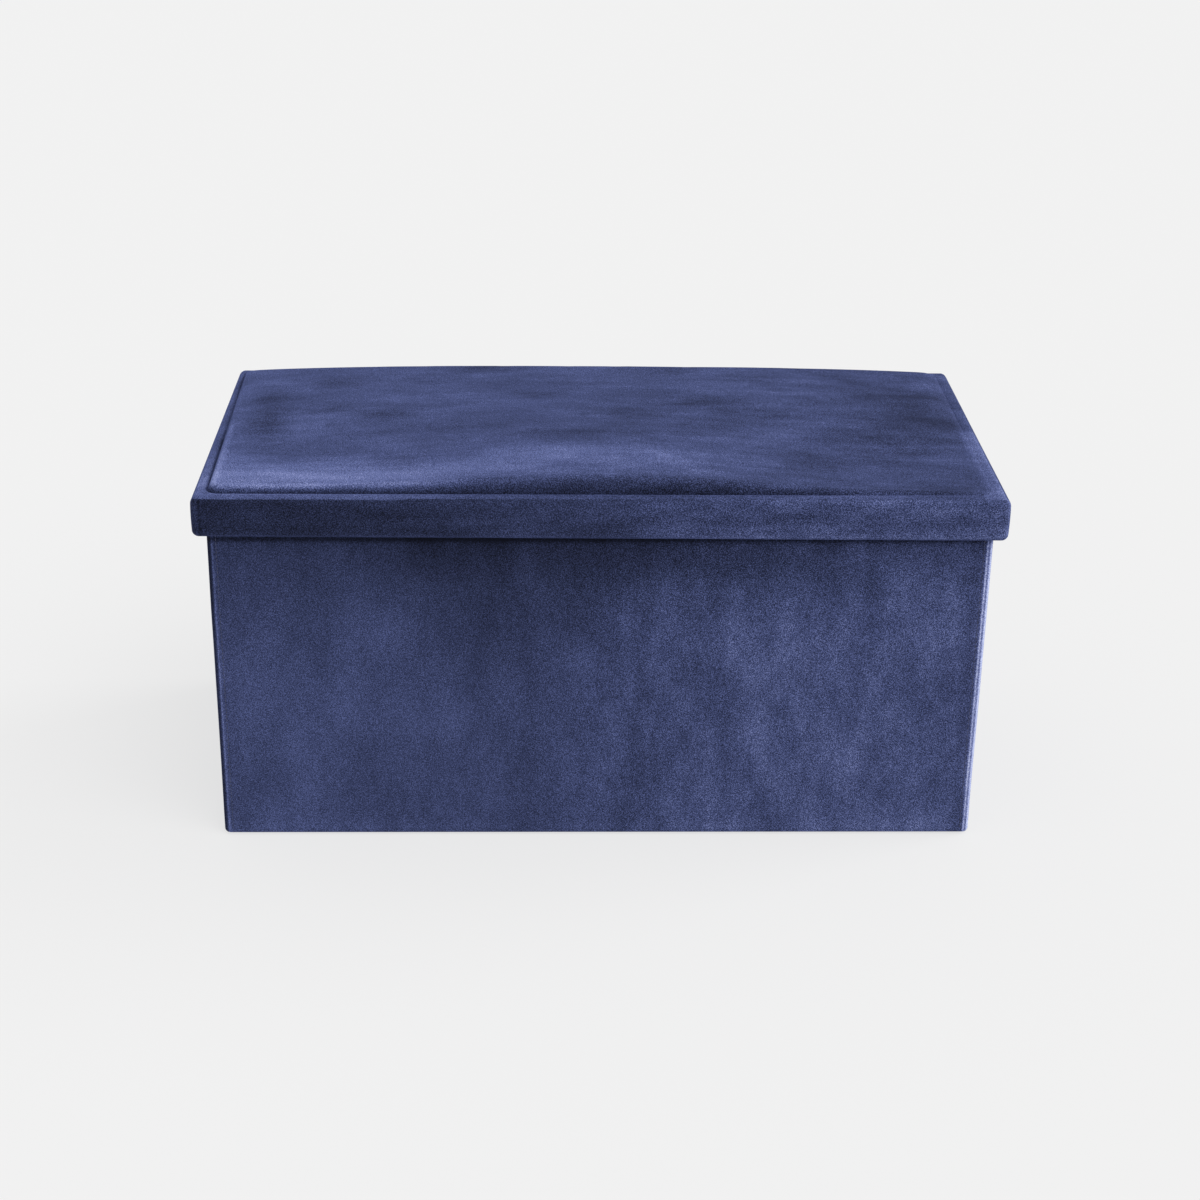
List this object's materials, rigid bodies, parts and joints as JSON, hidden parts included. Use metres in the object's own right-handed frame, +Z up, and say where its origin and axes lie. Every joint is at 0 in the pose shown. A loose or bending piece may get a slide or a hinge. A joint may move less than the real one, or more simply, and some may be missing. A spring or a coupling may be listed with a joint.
{
  "type": "folding storage ottoman",
  "caption": "Long low storage bin covered in navy velvet, with a padded lift-off lid that overhangs the walls; the end walls and floor fold so that the bin packs flat.",
  "frame": {"origin": "on the floor under the middle of the bin and lid", "axes": "+X along the length, +Y from the front wall to the back wall, +Z up"},
  "size_m": [0.76, 0.38, 0.379],
  "materials": {
    "velvet": "short dense pile, rubbed in cloudy patches",
    "fibreboard": "raw medium-density fibreboard",
    "lining": "black non-woven cloth with a small embossed dot",
    "foam": "open-cell polyurethane foam",
    "webbing": "ribbed woven tape",
    "staple_steel": "bright zinc-coated wire"
  },
  "bodies": {
    "front_wall": {"front_cover": "velvet", "front_board": "fibreboard", "front_lining": "lining", "floor_cloth": "lining", "front_left_corner_strip": "velvet", "front_right_corner_strip": "velvet"},
    "left_front_wall": {"left_front_cover": "velvet", "left_front_board": "fibreboard", "left_front_lining": "lining", "left_fold_strip": "velvet"},
    "left_back_wall": {"left_back_cover": "velvet", "left_back_board": "fibreboard", "left_back_lining": "lining"},
    "back_wall": {"back_cover": "velvet", "back_board": "fibreboard", "back_lining": "lining", "back_left_corner_strip": "velvet", "back_right_corner_strip": "velvet"},
    "right_front_wall": {"right_front_cover": "velvet", "right_front_board": "fibreboard", "right_front_lining": "lining", "right_fold_strip": "velvet"},
    "right_back_wall": {"right_back_cover": "velvet", "right_back_board": "fibreboard", "right_back_lining": "lining"},
    "base_front": {"base_front_board": "fibreboard", "base_front_cloth": "lining", "base_pull_strap": "webbing"},
    "base_back": {"base_back_board": "fibreboard", "base_back_cloth": "lining"},
    "lid": {"lid_top_cover": "velvet", "lid_foam": "foam", "lid_board": "fibreboard", "lid_lining": "lining", "lid_band_front": "velvet", "lid_band_back": "velvet", "lid_band_left": "velvet", "lid_band_right": "velvet", "lid_skirt_front": "fibreboard", "lid_skirt_back": "fibreboard", "lid_skirt_left": "fibreboard", "lid_skirt_right": "fibreboard", "lid_staple_01": "staple_steel", "lid_staple_02": "staple_steel", "lid_staple_03": "staple_steel", "lid_staple_04": "staple_steel", "lid_staple_05": "staple_steel", "lid_staple_06": "staple_steel", "lid_staple_07": "staple_steel", "lid_staple_08": "staple_steel", "lid_staple_09": "staple_steel", "lid_staple_10": "staple_steel", "lid_staple_11": "staple_steel", "lid_staple_12": "staple_steel"}
  },
  "joints": [
    {"name": "wall_fold", "type": "hinge", "parent": "front_wall", "child": "left_front_wall", "pos_m": [-0.361, -0.1634, 0], "axis": [0, 0, -1], "range_deg": [0, 87], "deforming": ["front_left_corner_strip", "floor_cloth"]},
    {"name": "left_middle_fold", "type": "hinge", "parent": "left_front_wall", "child": "left_back_wall", "pos_m": [-0.3694, 0, 0], "axis": [0, 0, 1], "range_deg": [0, 174], "deforming": ["left_fold_strip"]},
    {"name": "left_back_corner", "type": "hinge", "parent": "left_back_wall", "child": "back_wall", "pos_m": [-0.361, 0.1634, 0], "axis": [0, 0, -1], "range_deg": [0, 87], "deforming": ["back_left_corner_strip", "back_right_corner_strip"]},
    {"name": "right_front_corner", "type": "hinge", "parent": "front_wall", "child": "right_front_wall", "pos_m": [0.361, -0.1634, 0], "axis": [0, 0, 1], "range_deg": [0, 87], "deforming": ["front_right_corner_strip"]},
    {"name": "right_middle_fold", "type": "hinge", "parent": "right_front_wall", "child": "right_back_wall", "pos_m": [0.3694, 0, 0], "axis": [0, 0, -1], "range_deg": [0, 174], "deforming": ["right_fold_strip"]},
    {"name": "base_front_hinge", "type": "hinge", "parent": "front_wall", "child": "base_front", "pos_m": [0, -0.1694, 0.0065], "axis": [1, 0, 0], "range_deg": [0, 87]},
    {"name": "base_back_hinge", "type": "hinge", "parent": "back_wall", "child": "base_back", "pos_m": [0, 0.1694, 0.0065], "axis": [-1, 0, 0], "range_deg": [0, 87]},
    {"name": "lid_lift", "type": "slide", "parent": "front_wall", "child": "lid", "axis": [0, 0, 1], "range_m": [0, 0.42]}
  ],
  "couplings": [
    {"joint": "left_middle_fold", "follows": "wall_fold", "ratio": 2},
    {"joint": "left_back_corner", "follows": "wall_fold", "ratio": 1},
    {"joint": "right_front_corner", "follows": "wall_fold", "ratio": 1},
    {"joint": "right_middle_fold", "follows": "wall_fold", "ratio": 2},
    {"joint": "base_front_hinge", "follows": "wall_fold", "ratio": 1},
    {"joint": "base_back_hinge", "follows": "wall_fold", "ratio": 1}
  ]
}
